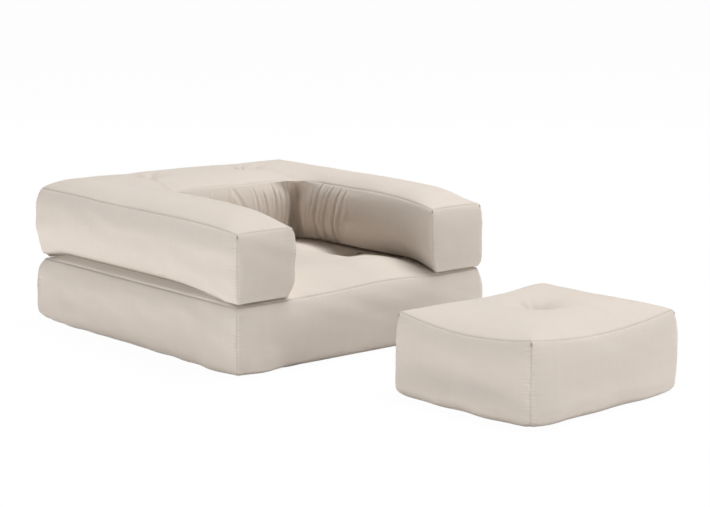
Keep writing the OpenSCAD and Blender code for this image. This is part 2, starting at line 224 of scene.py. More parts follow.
class Lattice:
    """The skin of a box-shaped lattice, as one closed net of quads with its lines at given shares."""

    def __init__(self, a, b, c):
        self.lines = [np.asarray(line, float) for line in (a, b, c)]
        shape = tuple(len(line) for line in self.lines)
        skin = np.zeros(shape, bool)
        for axis in range(3):
            for end in (0, -1):
                np.moveaxis(skin, axis, 0)[end] = True
        self.number = np.full(shape, -1)
        self.number[skin] = np.arange(skin.sum())
        self.shares = [line[i] for line, i in zip(self.lines, np.nonzero(skin))]
        self.faces = [
            (axis, end, np.take(self.number, end, axis)) for axis in range(3) for end in (0, -1)
        ]
        on_face = [(share == 0) | (share == 1) for share in self.shares]
        self.on_seam = sum(on.astype(int) for on in on_face) >= 2

    def quads(self):
        """Corner numbers of every quad, turned so that it faces outwards, and each quad's face."""
        found, face_of = [], []
        for n, (axis, end, net) in enumerate(self.faces):
            found.append(corner_rings(net, axis, end).reshape(-1, 4))
            face_of.append(np.full(len(found[-1]), n))
        return np.concatenate(found), np.concatenate(face_of)

    def softened(self, moves, times=3):
        """Moves with each face's inner ones drawn halfway to their four neighbours' mean, over and over."""
        for _ in range(times):
            for _, _, net in self.faces:
                part = moves[net]
                mean = (part[:-2, 1:-1] + part[2:, 1:-1] + part[1:-1, :-2] + part[1:-1, 2:]) / 4
                part[1:-1, 1:-1] = (part[1:-1, 1:-1] + mean) / 2
                moves[net] = part
        return moves

    def spread(self, moves, finer):
        """Moves of this skin's points carried to a finer lattice's, by smooth curves along each line."""
        out = np.zeros((finer.number.max() + 1, 3))
        for (axis, _, net), (_, _, fine_net) in zip(self.faces, finer.faces):
            u, v = [n for n in range(3) if n != axis]
            part = carried(moves[net], self.lines[u], finer.lines[u])
            part = carried(part.swapaxes(0, 1), self.lines[v], finer.lines[v]).swapaxes(0, 1)
            out[fine_net] = part
        return out


def carried(values, old, new):
    """Rows of values at the shares old, carried to the shares new by cubic curves with mean slopes."""
    slope = np.gradient(values, old, axis=0)
    i = np.clip(np.searchsorted(old, new) - 1, 0, len(old) - 2)
    run = (old[i + 1] - old[i])[:, None, None]
    t = ((new - old[i]) / (old[i + 1] - old[i]))[:, None, None]
    return (
        (2 * t**3 - 3 * t**2 + 1) * values[i] + (t**3 - 2 * t**2 + t) * run * slope[i]
        + (3 * t**2 - 2 * t**3) * values[i + 1] + (t**3 - t**2) * run * slope[i + 1]
    )


def outwards(points, quads):
    """Outward direction at each point: the mean of its quads' crossed diagonals."""
    p = points[quads]
    facing = np.cross(p[:, 2] - p[:, 0], p[:, 3] - p[:, 1])
    total = np.zeros_like(points)
    for corner in range(4):
        np.add.at(total, quads[:, corner], facing)
    return total / np.maximum(np.linalg.norm(total, axis=1), 1e-12)[:, None]


def from_seams(points, net):
    """Distances along a face's two sets of lines: summed from its first edge, and from the nearer edge."""
    p = points[net]
    runs = []
    for axis in (0, 1):
        steps = np.linalg.norm(np.diff(p, axis=axis), axis=-1)
        start = np.cumsum(np.insert(steps, 0, 0, axis), axis)
        last = start[-1:] if axis == 0 else start[:, -1:]
        runs.append((start, np.minimum(start, last - start)))
    return runs[0][0], runs[1][0], runs[0][1], runs[1][1]


# Meshes

def mesh_object(name, points, faces):
    """A smooth mesh object at the origin from arrays of points and faces."""
    mesh = bpy.data.meshes.new(name)
    mesh.from_pydata(np.asarray(points).tolist(), [], [list(map(int, f)) for f in faces])
    mesh.polygons.foreach_set("use_smooth", [True] * len(mesh.polygons))
    mesh.update()
    piece = bpy.data.objects.new(name, mesh)
    bpy.context.scene.collection.objects.link(piece)
    return piece


def stuffed(lattice, points, held, growth, cap, frames=20):
    """Moves of a skin's points when air pressure blows it up by Blender's cloth.

    Held points stay, the cloth is cut larger by growth, and no point moves further than cap."""
    bag = mesh_object("bag", points, lattice.quads()[0])
    bag.vertex_groups.new(name="pins").add(np.nonzero(held)[0].tolist(), 1.0, "REPLACE")
    cloth = bag.modifiers.new("stuffing", "CLOTH")
    for key, value in {
        "vertex_group_mass": "pins", "quality": 5, "mass": 0.3, "tension_stiffness": 12,
        "compression_stiffness": 12, "shear_stiffness": 6, "bending_stiffness": 0.6,
        "shrink_min": -growth, "use_pressure": True, "uniform_pressure_force": 4,
    }.items():
        setattr(cloth.settings, key, value)
    cloth.settings.effector_weights.gravity = 0
    cloth.point_cache.frame_start, cloth.point_cache.frame_end = 1, frames
    for step in range(1, frames + 1):
        bpy.context.scene.frame_set(step)
    blown = bag.evaluated_get(bpy.context.evaluated_depsgraph_get()).to_mesh()
    after = np.zeros(len(points) * 3, np.float32)
    blown.vertices.foreach_get("co", after)
    moves = after.reshape(-1, 3) - points
    bpy.data.meshes.remove(bag.data)
    bpy.context.scene.frame_set(1)
    length = np.linalg.norm(moves, axis=1)[:, None]
    return moves * (cap * np.tanh(length / cap) / np.maximum(length, 1e-9))


def sewn_cover(name, coarse, fine, form, pinned, growth, cap, finish):
    """A closed cover: its form, what the simulation adds, and then the finishing moves straight outwards.

    The simulation holds the seams, the underside and what is pinned of the top."""
    points = form(*fine.shares)
    start, height = form(*coarse.shares), coarse.shares[2]
    held = coarse.on_seam | (height == 0) | ((height == 1) & pinned(*start.T[:2]))
    moves = stuffed(coarse, start, held, growth, cap)
    points = points + coarse.spread(coarse.softened(moves), fine)
    quads, face_of = fine.quads()
    seam_away = np.full(len(points), FAR)
    for _, _, net in fine.faces:
        _, _, along, across = from_seams(points, net)
        seam_away[net] = np.minimum(seam_away[net], np.minimum(along, across))
    normal = outwards(points, quads)
    points = points + normal * finish(fine, points)[:, None]
    points = points - normal * (GROOVE_DEPTH * np.exp(-seam_away / GROOVE_WIDTH))[:, None]
    piece = mesh_object(name, points, quads)
    cloth_uv(piece, fine, points)
    for material in (COTTON, LINING):
        piece.data.materials.append(material)
    piece.data.polygons.foreach_set("material_index", (face_of == UNDERSIDE).astype(np.int32))
    return piece, points


def add_map(piece, name, pairs):
    """Adds a map that has a pair of lengths for each corner of each quad."""
    piece.data.uv_layers.new(name=name).data.foreach_set("uv", pairs.astype(np.float32).ravel())


def cloth_uv(piece, lattice, points):
    """Two maps in metres: along the cloth of each face, and the distances from its seams, of which tops and
    undersides have no upright ones."""
    cloth, hem = [], []
    apart = 3.1
    for n, (axis, end, net) in enumerate(lattice.faces):
        u, v, off_u, off_v = from_seams(points, net)
        if axis == 2:
            u, v = points[net][..., 0], points[net][..., 1]
            off_u, off_v = off_u + FAR, np.minimum(off_u, off_v)
        for out, pair in ((cloth, (u + apart * n, v)), (hem, (off_u, off_v))):
            out.append(corner_rings(np.stack(pair, -1), axis, end).reshape(-1, 2))
    add_map(piece, "cloth", np.concatenate(cloth))
    add_map(piece, "hem", np.concatenate(hem))


# Base mattress

def base_low(x, y):
    """Underside of the base: flat on the floor, rolled up to its seams, lifted at its tufts."""
    rolled = under_edge(HALF_W - np.abs(x), HALF_D - np.abs(y))
    return rolled + UNDER_PULL * crater(x, y, SEAT_TUFTS, UNDER_REACH)


def inside_seat(x, y):
    """Distance inside the seat's outline, below 0 under the arms and back."""
    side, rear = SEAT_HALF_W - np.abs(x), BACK_Y - y
    corner = INNER_R - np.hypot(np.maximum(INNER_R - side, 0), np.maximum(INNER_R - rear, 0))
    return np.where((side < INNER_R) & (rear < INNER_R), corner, np.minimum(side, rear))


def seat_craters(x, y):
    """Depth of the base's craters as a share of a tuft's pull: one less the square of the share of the reach,
    squared, shallow where the folding block's foot stands, with a narrow pit at the tuft itself."""
    open_share = 0.12 + 0.88 * eased(inside_seat(x, y) / 0.050)
    return sum(
        open_share * np.clip(1 - ((x - tx) ** 2 + (y - ty) ** 2) / SEAT_REACH**2, 0, 1) ** 2
        + PIT_SHARE * bell(np.hypot(x - tx, y - ty), PIT_R) for tx, ty in SEAT_TUFTS
    )


def base_top(x, y):
    """Top of the base: pressed level under the folding block, a mound between the arms, craters at its tufts,
    a crease from each front tuft towards the seat's front, and a front seam that rises with the mound."""
    inset = HALF_W - np.abs(x)
    crown = (0.5 * swell(inset, 0.045) + 0.5 * swell(inset, 0.250)) * swell(HALF_D - np.abs(y), FRONT_EDGE)
    level = BASE_H + (REST_Z - 0.0009 - BASE_H) * crown
    inside = eased(inside_seat(x, y) / 0.08)
    mound = 0.0125 * inside * eased((y + HALF_D) / 0.18) * (1 - 0.65 * eased((y + 0.36) / 0.18))
    lifted_seam = (0.0105 * bell(x - 0.09, 0.17) + 0.005 * bell(x - HALF_W, 0.10)) * eased(-(y + 0.33) / 0.19)
    hollow = 0.011 * bell(inside_seat(x, y) - 0.060, 0.036) * eased((y + 0.29) / 0.10)
    across_crease = (np.abs(x) - 0.115) * 0.45 - (y + 0.285) * 0.9
    crease = 0.006 * bell(across_crease, 0.030) * bell(np.hypot(np.abs(x) - 0.13, y + 0.27), 0.09)
    return level + mound + lifted_seam - hollow - crease * inside - SEAT_PULL * seat_craters(x, y)


def base_belly(x, y):
    """How far the base's bands sag out above the floor: most towards the rear of its sides, least at its
    front's middle, where its waves are calmer too."""
    side = 0.005 + 0.011 * bell(y - 0.36, 0.14) + 0.010 * bell(y + 0.43, 0.08)
    front = between(0.014, 0.007, x > 0) * bell(HALF_W - 0.09 - np.abs(x), 0.08) - 0.003
    calm = between(1.0, 0.4, (y < ON_EDGE - HALF_D) & (x > -0.25))
    waves = 0.0055 * ripple(x, 1.3 * y, 0.16, 9) * calm
    sag = np.where(np.abs(x) > HALF_W - ON_EDGE, side, front)
    return sag * np.where(y > HALF_D - ON_EDGE, 0.6, 1.0) + waves


def base_form(a, b, c):
    """The base's skin: across its width, its depth and its height, with puffed bands."""
    x, y = (2 * a - 1) * HALF_W, (2 * b - 1) * HALF_D
    z = between(base_low(x, y), base_top(x, y), c)
    away = from_corner(x, y)
    sagging = base_belly(x, y) * belly(z) * (1 - 0.9 * bell(away, 0.055))
    out = CHAIR_PUFF * puff(c) * corner_ease(x, y, -0.3) + sagging
    rolled = toe(z) * (1 + 0.9 * bell(away, 0.05))
    x = BASE_AT_X + x * (1 - rolled / HALF_W) + ((a == 1) * 1.0 - (a == 0)) * out
    return np.stack([x, y * (1 - rolled / HALF_D) + ((b == 1) * 1.0 - (b == 0)) * out, z], -1)


def base_pinned(x, y):
    """Where the base's top is held: under the folding block and at its tufts."""
    return (inside_seat(x, y) < 0.02) | (seat_craters(x, y) > 0.6)


def stuffing(points, c, deep, length, seed, on_top, on_bands):
    """The soft unevenness of stuffing, by its shares on the top and on the bands, and none below."""
    x, y, z = points.T
    share = np.where(c == 1, on_top, np.where(c == 0, 0.0, on_bands))
    return deep * ripple(x + 2 * z, y - z, length, seed) * share


def base_finish(lattice, points):
    """Puckers beside the upright seams, and unevenness, none under the folding block."""
    c = lattice.shares[2]
    open_top = eased((inside_seat(*points.T[:2]) - 0.01) / 0.05)
    uneven = stuffing(points, c, 0.0016, 0.16, 3, open_top, puff(c))
    return uneven + upright_puckers(lattice, points, 11)


def upright_puckers(lattice, points, seed, deep=0.0009):
    """Short level puckers beside each upright seam: waves up the seam that fade within about 40 mm."""
    out = np.zeros(len(points))
    for n, (axis, _, net) in enumerate(lattice.faces):
        if axis == 2:
            continue
        _, up, off_u, off_v = from_seams(points, net)
        wave = ripple(up, 0 * up + n, 0.011, seed + n) + 0.6 * ripple(up, 2 * off_u, 0.024, seed + 7 * n)
        strength = deep * (0.7 + 0.3 * ripple(up, 0 * up, 0.09, seed + 3 * n))
        fade = np.exp(-off_u / 0.015) * (1 - np.exp(-off_u / 0.0025)) * eased(off_v / 0.02)
        inner = np.zeros(net.shape, bool)
        inner[1:-1, :] = True
        out[net] += np.where(inner, strength * wave * fade, 0)
    return out


# Folding block

ARM_RUN = BACK_Y + HALF_D
PATH = 2 * ARM_RUN + 2 * SEAT_HALF_W
ARM_FOOT = 0.055


def u_lines(step, fine_step, fine_reach=0.29):
    """Shares of the lines along the U: crowded at the arms' fronts, and fine all round the back."""
    arm = places(ARM_RUN, step)
    arm = arm[: math.ceil(len(arm) / 2)] * ARM_RUN
    fine_from = ARM_RUN - fine_reach
    arm = arm[arm < fine_from - step / 2]
    middle = np.linspace(fine_from, PATH - fine_from, math.ceil((PATH - 2 * fine_from) / fine_step) | 1)
    return np.concatenate([arm, middle, PATH - arm[::-1]]) / PATH


def paths(a):
    """Inner and outer points along the U: straight arms and back, with both paths' arm fronts level."""
    run = np.minimum(a, 1 - a) * PATH
    side = np.where(a < 0.5, -1.0, 1.0)
    on_arm = run < ARM_RUN
    y_in = -HALF_D + np.minimum(run, ARM_RUN)
    share = (run - SOFT_EDGE) / (ARM_RUN - SOFT_EDGE)
    behind = between(SOFT_EDGE - HALF_D, HALF_D, np.minimum(share, 1))
    y_out = np.where(run < SOFT_EDGE, -HALF_D + run, behind)
    x_in = side * np.where(on_arm, SEAT_HALF_W, SEAT_HALF_W - (run - ARM_RUN))
    return np.stack([x_in, y_in], -1), np.stack([x_in * HALF_W / SEAT_HALF_W, y_out], -1)


def corner_arc(inner, radius):
    """Shift that rounds an inner corner to a radius, and the direction from the band towards the seat."""
    from_arm, from_back = BACK_Y - inner[:, 1], SEAT_HALF_W - np.abs(inner[:, 0])
    turn = np.where(
        from_arm > 0, 45 * np.clip(1 - from_arm / radius, 0, 1), 45 + 45 * np.clip(from_back / radius, 0, 1)
    )
    turn = np.radians(turn)
    arc = radius * np.stack([1 - np.cos(turn), 1 - np.sin(turn)], -1)
    place = np.stack([from_back, from_arm], -1)
    side = np.where(inner[:, :1] < 0, 1.0, -1.0)
    towards = np.concatenate([side, -np.ones_like(side)], 1)
    shift = np.where(place.max(1, keepdims=True) >= radius, 0, (arc - place) * towards)
    return shift, np.stack([np.cos(turn), np.sin(turn)], -1) * towards


def fold_low(x, y, v):
    """Underside of the folding block: level on the base, drooping to its front and rear seams, and sooner
    along its outer seams, whose lip hangs clear of the base but for its ends."""
    level = BASE_H + SEAM_GAP + (REST_Z - BASE_H - SEAM_GAP) * swell(HALF_D - np.abs(y), FRONT_EDGE)
    risen = swell(y + HALF_D - ARM_FOOT, 0.36) * swell(HALF_D - y, 0.15)
    outer = np.minimum(BASE_H + SEAM_GAP + 0.0225 * risen, level)
    lifted_corner = 0.006 * bell(np.hypot(HALF_W - np.abs(x), HALF_D - y), 0.040)
    lip = np.clip((v - 0.62) / 0.38, 0, 1) ** 2
    sunk = 0.009 * bell(v - 0.78, 0.12) * risen
    hung = between(level, outer, lip) - sunk
    return hung + lifted_corner + UNDER_PULL * crater(x, y, BACK_TUFTS, UNDER_REACH)


def fold_seam(y, v):
    """Height of the top seams, which rise behind the arm fronts, the inner one more."""
    return BASE_H + SEAM_GAP + FOLD_H + between(0.024, 0.012, v) * swell(y + HALF_D, 0.300)


def fold_top(x, y, v):
    """Top of the folding block: a crown between its seams, fuller towards the rear and lower on the right
    arm, craters at the back's tufts and a crease from each to its inner corner."""
    crown = 0.034 * (1 - np.abs(2 * v - 1) ** 2.6) * swell(y + HALF_D, 0.140)
    on_back = eased((y - 0.10) / 0.25)
    rear = (0.003 * bell(v - 0.75, 0.17) - 0.003 * bell(x - 0.30, 0.16) - 0.004 * x / HALF_W) * on_back
    right_arm = 0.004 * (1 - on_back) * (x > 0)
    tufts = TUFT_PULL * crater(x, y, BACK_TUFTS, 0.095, 2)
    return fold_seam(y, v) + crown + rear - right_arm - tufts - corner_crease(x, y)


def corner_crease(x, y):
    """Depth of a bent crease in the top from each back tuft to its inner corner, with another beside it."""
    side = np.abs(x)
    start, end = np.array(BACK_TUFTS[1]), np.array([0.245, 0.125])
    run = end - start
    length = np.hypot(*run)
    along = ((side - start[0]) * run[0] + (y - start[1]) * run[1]) / length
    off = ((side - start[0]) * run[1] - (y - start[1]) * run[0]) / length
    share = along / length
    bend = off + 0.010 * np.sin(np.pi * np.clip(share, 0, 1))
    first, second = bell(bend, 0.014), bell(bend - 0.034, 0.014) * eased((share - 0.25) / 0.2)
    return (0.0065 * first + 0.0025 * second) * eased(share / 0.12) * eased((1.25 - share) / 0.3)


def fold_form(a, b, c):
    """The folding block's skin: along the U, across it and up, its bands puffed, its inner corners round."""
    inner, outer = paths(a)
    wide, towards = corner_arc(inner, INNER_R)
    tight, _ = corner_arc(inner, CORNER_R)
    sunk = swell(1 - c, 0.16) * swell(c + 0.10, 0.30)
    tuck = 0.016 * (1 - c) ** 3
    shift = between(wide, tight, sunk[:, None]) - towards * tuck[:, None]
    place = between(inner, outer, b[:, None]) + np.clip(1 - 2 * b, 0, 1)[:, None] * shift
    x, y = place.T
    side_out = (np.abs(np.abs(outer[:, 0]) - HALF_W) < ON_EDGE) * np.sign(outer[:, 0])
    rear_out = (np.abs(outer[:, 1] - HALF_D) < ON_EDGE) * 1.0
    out = np.where((b == 0)[:, None], towards, 0)
    out = out + np.where((b == 1)[:, None], np.stack([side_out, rear_out], -1), 0)
    out[:, 1] -= (a == 0) * 1.0 + (a == 1)
    outer_side = outer_bulge(y, c) * corner_ease(*outer.T) - turned_under(y, c)
    bulge = np.where(b == 0, inner_bulge(a, c), outer_side)
    place = place + out * bulge[:, None]
    place[:, 0] += FOLD_AT_X + FOLD_SKEW * place[:, 1]
    return np.column_stack([place, between(fold_low(x, y, b), fold_top(x, y, b), c)])


def outer_bulge(y, c):
    """Bulge of the outer bands: tighter at their edges towards the front, and softer below at the rear."""
    front = eased((0.0 - y) / 0.35)
    return CHAIR_PUFF * puff(c, 3.4 + 4 * front - 1.6 * eased((y - 0.25) / 0.2), 3.6 + 1.8 * front)


def turned_under(y, c):
    """How far the foot of an outer band is turned in above the gap."""
    return 0.012 * (1 - c) ** 4 * swell(y + HALF_D - ARM_FOOT, 0.30) * swell(HALF_D - y, 0.12)


def inner_bulge(a, c):
    """Bulge of the inner band: flat at the arms' fronts and round behind them, pressed in round each inner
    corner and drawn deep in its crease."""
    to_corner = ARM_RUN - np.minimum(a, 1 - a) * PATH
    from_front = eased((ARM_RUN - to_corner) / 0.30)
    round_face = np.sin(np.pi * np.clip(c, 0, 1) ** 1.15) ** 0.8
    within = between(0.010 * puff(c, 5.0, 7.0), 0.030 * round_face, from_front)
    within = within * (1 - 0.8 * bell(to_corner - 0.01, 0.032))
    deep = swell(1 - c, 0.35) * swell(c + 0.15, 0.40)
    return within - 0.026 * deep * bell(to_corner - 0.008, 0.016)


def fold_pinned(x, y):
    """Where the folding block's top is held: at its tufts."""
    return crater(x, y, BACK_TUFTS, 0.125) > 0.65


# The folds that fan out round an inner corner, in tenths of a millimetre: each one's top and bottom places
# along the band from the corner's middle, positive towards the arm's front, its top and bottom heights,
# half width and depth
CORNER_FOLDS = np.array([
    (-2760, -2520, 4370, 3850, 60, 8), (-2440, -2140, 4350, 3750, 65, 9),
    (-1600, -1500, 4280, 3300, 45, 10), (-1220, -1160, 4100, 3200, 45, 17),
    (-840, -780, 4250, 3000, 45, 23), (-640, -580, 4100, 3100, 40, 18),
    (-420, -380, 4250, 3200, 40, 21), (-220, -220, 4320, 3000, 45, 30),
    (-120, -120, 4240, 2620, 60, 45), (160, 160, 4220, 2550, 60, 45),
    (500, 470, 4250, 3300, 50, 20), (830, 780, 4200, 3250, 47, 40),
    (1190, 980, 4380, 3000, 51, 86), (1500, 1220, 4200, 3100, 43, 34),
    (1740, 1400, 4300, 3000, 51, 63), (2140, 1840, 4260, 2800, 55, 71),
    (2420, 2150, 4240, 3100, 51, 52), (2700, 2460, 4200, 3200, 47, 37),
    (3050, 2800, 4100, 3400, 51, 16),
]) / 10000


def gathers(along, z, seed):
    """Depth of the inner band's gathered folds: for each, a bell across it that leans and bends, fading in
    and out along it, with a low ridge on either side. A seed above 0 shakes them a little."""
    rng = np.random.default_rng(seed)
    depth = 0 * along
    for top, bottom, z_top, z_bottom, width, deep in CORNER_FOLDS:
        shake = rng.uniform(-1, 1, 3) * (seed > 0)
        t = (z_top - z) / (z_top - z_bottom)
        middle = between(top, bottom, np.clip(t, -0.2, 1.6))
        middle = middle + 0.006 * shake[0] + 0.004 * np.sin(2.6 * t + 6 * shake[1])
        spread = 0.72 * width * (1 + 0.8 * np.clip(t, 0, 1.6))
        strength = 2.0 * deep * (1 + 0.25 * shake[2]) * eased((t + 0.06) / 0.26) * eased((1.75 - t) / 1.0)
        x = (along - middle) / spread
        depth = depth + strength * (bell(x, 1.0) - 0.42 * bell(x - 1.9, 1.1) - 0.42 * bell(x + 1.9, 1.1))
    return depth


def fold_finish(lattice, points):
    """Folds at the inner corners, creases at the tufts, puckers beside the upright seams, and unevenness.
    The way to a corner is counted along its arc."""
    x, y, z = points.T
    a, b, c = lattice.shares
    to_corner = ARM_RUN - np.minimum(a, 1 - a) * PATH
    arc, saved = INNER_R * np.pi / 4, INNER_R * (2 - np.pi / 2)
    along = np.where(
        np.abs(to_corner) < INNER_R, to_corner * arc / INNER_R, to_corner - np.sign(to_corner) * saved / 2
    )
    band = (b == 0) & (c > 0) & (c < 1)
    folds = np.where(a > 0.5, gathers(along, z, 0), gathers(along, z, 5)) * band
    uneven = stuffing(points, c, 0.0015, 0.17, 21, 0.5, puff(c))
    creases = 0.0075 * tuft_folds(x, y, BACK_TUFTS, 1) * (c == 1)
    return uneven - folds - creases + upright_puckers(lattice, points, 31, 0.0015)


# Pouf

def pouf_point(x, y, z):
    """Points from the pouf's own middle and turn to their place in front of the chair."""
    cos, sin = math.cos(POUF_TURN), math.sin(POUF_TURN)
    return np.stack([POUF_AT[0] + x * cos - y * sin, POUF_AT[1] + x * sin + y * cos, z], -1)


def pouf_local(x, y):
    """Places in plan from the pouf's own middle, in its own turn."""
    cos, sin = math.cos(POUF_TURN), math.sin(POUF_TURN)
    x, y = x - POUF_AT[0], y - POUF_AT[1]
    return x * cos + y * sin, y * cos - x * sin


def pouf_form(a, b, c):
    """The pouf's skin: seams that sag between the corners, a high crown and one deep crater. Its faces bulge
    out above the floor, the rear one less."""
    x, y = (a - 0.5) * POUF_W, (b - 0.5) * POUF_D
    near = [(POUF_W / 2 - np.abs(x)), (POUF_D / 2 - np.abs(y))]
    sag = 1 - (1 - bow(a)) * (1 - bow(b))
    nearest = (np.maximum(near[0], 1e-6) ** -3.0 + np.maximum(near[1], 1e-6) ** -3.0) ** (-1 / 3)
    crown = swell(nearest, SOFT_EDGE)
    fuller_right = 0.006 * eased((x - 0.05) / 0.12)
    pit = POUF_PULL * bell(np.hypot(x, y), POUF_REACH)
    high = POUF_H - POUF_SAG * sag + (POUF_CROWN + fuller_right) * crown - pit
    low = under_edge(*near) + UNDER_PULL * crater(x, y, [(0, 0)], UNDER_REACH)
    z = between(low, high, c)
    along = np.where(np.abs(x) > POUF_W / 2 - ON_EDGE, bow(b), bow(a))
    sagging = 0.029 * along**0.4 * (1 - 0.3 * along**4) + 0.004 * ripple(x, y, 0.15, 14)
    out = POUF_PUFF * puff(c) + sagging * belly(z)
    rolled = toe(z) * (1 + 1.2 * bell(np.hypot(*near), 0.045))
    return pouf_point(
        x * (1 - 2 * rolled / POUF_W) + ((a == 1) * 1.0 - (a == 0)) * out,
        y * (1 - 2 * rolled / POUF_D) + ((b == 1) * POUF_REAR_SHARE - (b == 0)) * out, z
    )


def pouf_pinned(x, y):
    """Where the pouf's top is held: at its tuft."""
    return np.hypot(*pouf_local(x, y)) < 0.025


def pouf_finish(lattice, points):
    """Creases at the tuft, puckers beside the upright seams, and unevenness."""
    c = lattice.shares[2]
    uneven = stuffing(points, c, 0.0006, 0.15, 41, 1.0, 1.0)
    creases = 0.0050 * tuft_folds(*pouf_local(*points.T[:2]), [(0.0, 0.0)], 4) * (c == 1)
    return uneven - creases + upright_puckers(lattice, points, 51)


# Materials

class Wire:
    """A socket whose operators add Math nodes, so that a pattern is written as an expression."""

    def __init__(self, tree, socket):
        self.tree, self.socket = tree, socket

    def math(self, operation, *others, swap=False):
        """One Math node on this wire and up to two more values."""
        values = [self, *others]
        if swap:
            values[:2] = values[1::-1]
        return self.tree.add("ShaderNodeMath", dict(enumerate(values)), operation=operation)

    def __add__(self, other): return self.math("ADD", other)
    def __radd__(self, other): return self.math("ADD", other)
    def __sub__(self, other): return self.math("SUBTRACT", other)
    def __rsub__(self, other): return self.math("SUBTRACT", other, swap=True)
    def __mul__(self, other): return self.math("MULTIPLY", other)
    def __rmul__(self, other): return self.math("MULTIPLY", other)
    def __truediv__(self, other): return self.math("DIVIDE", other)


OBJECT_COORDINATES = 3


class Cloth:
    """A node tree of a material or of the world, with one method that adds any node."""

    def __init__(self, name, kind=bpy.data.materials):
        self.material = kind.new(name)
        self.material.use_nodes = True
        self.nodes, self.links = self.material.node_tree.nodes, self.material.node_tree.links
        self.nodes.clear()

    def add(self, kind, sockets=None, output=0, **settings):
        """Adds a node with its sockets and settings, and returns one of its outputs as a Wire."""
        node = self.nodes.new(kind)
        for key, value in settings.items():
            setattr(node, key, value)
        for key, value in (sockets or {}).items():
            if isinstance(value, Wire):
                self.links.new(value.socket, node.inputs[key])
            else:
                node.inputs[key].default_value = value
        return Wire(self, node.outputs[output]) if len(node.outputs) else node

    def other(self, wire, name):
        """Another output of a wire's node, by number or name."""
        return Wire(self, wire.socket.node.outputs[name])

    def split(self, vector):
        """The first two parts of a vector."""
        x = self.add("ShaderNodeSeparateXYZ", {0: vector})
        return x, self.other(x, 1)

    def mix(self, share, a, b):
        """Colours a and b mixed by a share."""
        return self.add("ShaderNodeMix", {0: share, 6: a, 7: b}, output=2, data_type="RGBA")

    def bump(self, height, strength, distance):
        """A Bump node on a height."""
        sockets = {"Strength": strength, "Distance": distance, "Height": height}
        return self.add("ShaderNodeBump", sockets)

    def finished(self, shader):
        """The material, with its output on a shader."""
        self.add("ShaderNodeOutputMaterial", {"Surface": shader})
        return self.material

    def surfaced(self, sockets):
        """The material, with one Principled shader."""
        return self.finished(self.add("ShaderNodeBsdfPrincipled", sockets))


def rgba(r, g, b):
    """A display colour, 0 to 255, as the linear colour that Blender keeps."""
    share = np.array([r, g, b]) / 255
    linear = np.where(share <= 0.04045, share / 12.92, ((share + 0.055) / 1.055) ** 2.4)
    return (*linear.tolist(), 1.0)


def woven_cotton(name, colour, shade):
    """Plain woven cotton: crossing threads, slubs, soft colour drift, puckered seams with painted shade along
    them, and a nap.
    """
    cloth = Cloth(name)
    u, v = cloth.split(cloth.add("ShaderNodeUVMap", uv_map="cloth"))
    off_u, off_v = cloth.split(cloth.add("ShaderNodeUVMap", uv_map="hem"))

    def noise(x, y, scale=1.0, detail=1.0):
        place = cloth.add("ShaderNodeCombineXYZ", {0: x, 1: y, 2: 0.37})
        sockets = {"Vector": place, "Scale": scale, "Detail": detail}
        return cloth.add("ShaderNodeTexNoise", sockets)

    def fading(away, length):
        return (away * (-1 / length)).math("EXPONENT")

    # Threads 0.9 mm apart, over and under each other
    pitch = 2 * math.pi / 0.0018
    weave = (u * pitch).math("SINE") * (v * pitch).math("SINE")
    # Slubs: thicker stretches of single threads, long one way and narrow the other
    slubs = noise(u * 60, v * 900) + noise(u * 900, v * 60) - 1.0
    # Puckers where the cloth is gathered into a seam: waves along the seam that fade away from it
    by_long = fading(off_v, 0.010) * (1 - fading(off_v, 0.0015))
    by_short = fading(off_u, 0.016) * (1 - fading(off_u, 0.0015))
    gathered = (v * (2 * math.pi / 0.0105) + noise(u * 30, v * 30) * 7).math("SINE")
    sparse = (noise(u * 5, v * 45) - 0.34).math("MAXIMUM", 0.0) * 1.3
    puckers = (noise(u * 130, v * 14) - 0.5) * by_long + gathered * sparse * by_short
    height = weave * 0.00007 + slubs * 0.00016 + puckers * 0.0021

    cloudy = noise(u, v, 7.0, 3.0) - 0.5
    streaks = noise(u * 70, v * 5, detail=2.0) + noise(u * 5, v * 70, detail=2.0) - 1.0
    drift = (cloudy * 0.4 + streaks * 0.5 + slubs * 0.16 + 0.5).math("MAXIMUM", 0.0).math("MINIMUM", 1.0)
    # Painted shade along every seam: within about 1.6 mm of a seam the colour goes about a third of the way
    # to a dark brown, standing in for the shade in the seam's groove
    seam_painted_shade = fading(off_u.math("MINIMUM", off_v), 0.0016) * 0.32
    drift_and_seam_shade = cloth.mix(seam_painted_shade, cloth.mix(drift, shade, colour), rgba(150, 134, 118))
    return cloth.surfaced({
        "Base Color": drift_and_seam_shade, "Roughness": 0.92, "Normal": cloth.bump(height, 1.0, 1.0),
        "Specular IOR Level": 0.18, "Sheen Weight": 0.12, "Sheen Roughness": 0.55,
    })


def twisted_thread(name, colour, shade):
    """Twisted thread: slanted plies by a wave across the piece's own coordinates."""
    cloth = Cloth(name)
    where = cloth.add("ShaderNodeTexCoord", output=OBJECT_COORDINATES)
    sockets = {"Vector": where, "Scale": 420.0, "Distortion": 0.6}
    wave = cloth.add("ShaderNodeTexWave", sockets, output=1, bands_direction="DIAGONAL")
    return cloth.surfaced({
        "Base Color": cloth.mix(wave, shade, colour), "Roughness": 0.8,
        "Normal": cloth.bump(wave, 0.5, 0.0004), "Specular IOR Level": 0.25,
    })


def open_foam(name, colour, shade):
    """Open-cell foam: small pits from a cell pattern and a soft change of tone."""
    cloth = Cloth(name)
    where = cloth.add("ShaderNodeTexCoord", output=OBJECT_COORDINATES)
    cells = cloth.add("ShaderNodeTexVoronoi", {"Vector": where, "Scale": 520.0})
    drift = cloth.add("ShaderNodeTexNoise", {"Vector": where, "Scale": 9.0, "Detail": 3.0})
    return cloth.surfaced({
        "Base Color": cloth.mix(drift * 0.5 + cells * 0.4, shade, colour), "Roughness": 0.95,
        "Normal": cloth.bump(cells, 0.6, 0.0008), "Specular IOR Level": 0.1,
    })


